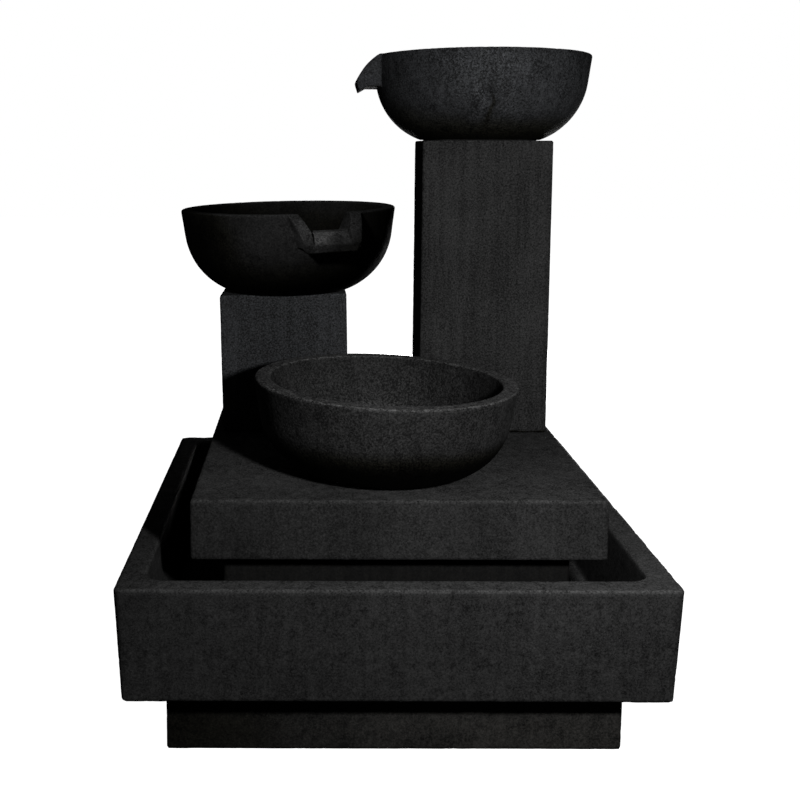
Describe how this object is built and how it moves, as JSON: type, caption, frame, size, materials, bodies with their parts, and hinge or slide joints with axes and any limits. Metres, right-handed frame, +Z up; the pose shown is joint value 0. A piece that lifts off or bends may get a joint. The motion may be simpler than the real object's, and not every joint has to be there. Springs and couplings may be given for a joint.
{
  "type": "tiered water fountain",
  "caption": "Cast-stone cascade fountain: spouted bowls on pillars pour into a lower bowl that spills into a square basin with a hidden pump.",
  "frame": {"origin": "on the ground, under the centre of the plinth and of the basin", "axes": "+Z up; -Y towards the viewer's side, where the lower bowl stands; +X to the viewer's right, where the tall column stands"},
  "size_m": [0.8076, 0.8078, 1.0585],
  "materials": {
    "cast_stone": "matt, fine sandy cast stone with a black patina",
    "pad_rubber": "matt black rubber",
    "plug_rubber": "moulded black rubber",
    "pump_plastic": "fine-grained moulded plastic",
    "impeller_plastic": "smooth grey moulded plastic",
    "electrical_steel": "stacked laminations",
    "copper_winding": "enamelled copper wire",
    "shaft_ceramic": "ground white ceramic",
    "magnet": "ferrite, satin",
    "hose_vinyl": "smooth black vinyl",
    "clamp_steel": "stainless band"
  },
  "bodies": {
    "stand": {"plinth": "cast_stone", "basin_pads": "pad_rubber", "basin": "cast_stone", "cord_grommet": "plug_rubber", "pump_pedestal": "cast_stone", "slab_pads": "pad_rubber", "slab": "cast_stone", "column_pads": "pad_rubber", "short_column": "cast_stone", "tall_column": "cast_stone", "top_bowl_seat": "pad_rubber", "middle_bowl_seat": "pad_rubber", "lower_bowl_shims": "pad_rubber", "pump_housing": "pump_plastic", "pump_back_plate": "pump_plastic", "pump_cord_gland": "plug_rubber", "stator_core": "electrical_steel", "stator_coil": "copper_winding", "volute_plate": "pump_plastic", "chamber_seal": "plug_rubber", "rotor_shaft": "shaft_ceramic", "shaft_bushings": "plug_rubber", "suction_cups": "plug_rubber", "outlet_adapter": "impeller_plastic", "riser_tube": "hose_vinyl", "hose_clamps": "clamp_steel"},
    "upper_bowl": {"top_bowl": "cast_stone", "bulkhead_stem": "impeller_plastic", "bulkhead_nut": "impeller_plastic", "bulkhead_washers": "plug_rubber"},
    "mid_bowl": {"middle_bowl": "cast_stone"},
    "low_bowl": {"lower_bowl": "cast_stone"},
    "rotor": {"rotor_magnet": "magnet", "impeller": "impeller_plastic"},
    "cover": {"pump_cover": "pump_plastic"},
    "slider": {"flow_slider": "impeller_plastic"},
    "plug": {"drain_plug": "plug_rubber"}
  },
  "joints": [
    {"name": "top_bowl_swivel", "type": "hinge", "parent": "stand", "child": "upper_bowl", "pos_m": [0.1838, 0.145, 0.9075], "axis": [0, 0, 1], "range_deg": [-15, 15]},
    {"name": "middle_bowl_swivel", "type": "hinge", "parent": "stand", "child": "mid_bowl", "pos_m": [-0.1658, 0.145, 0.6325], "axis": [-0.0192, -0.014, 0.9997], "range_deg": [-15, 15]},
    {"name": "lower_bowl_lift", "type": "slide", "parent": "stand", "child": "low_bowl", "axis": [0, 0, 1], "range_m": [0, 0.1]},
    {"name": "impeller_spin", "type": "hinge", "parent": "stand", "child": "rotor", "pos_m": [0.1838, 0.11, 0.19], "axis": [0, 1, 0], "continuous": true},
    {"name": "pump_cover_pull", "type": "slide", "parent": "stand", "child": "cover", "axis": [0, 1, 0], "range_m": [0, 0.04]},
    {"name": "flow_slider_slide", "type": "slide", "parent": "cover", "child": "slider", "axis": [1, 0, 0], "range_m": [0, 0.0045]},
    {"name": "drain_plug_pull", "type": "slide", "parent": "stand", "child": "plug", "axis": [0, 1, 0], "range_m": [0, 0.06]}
  ]
}
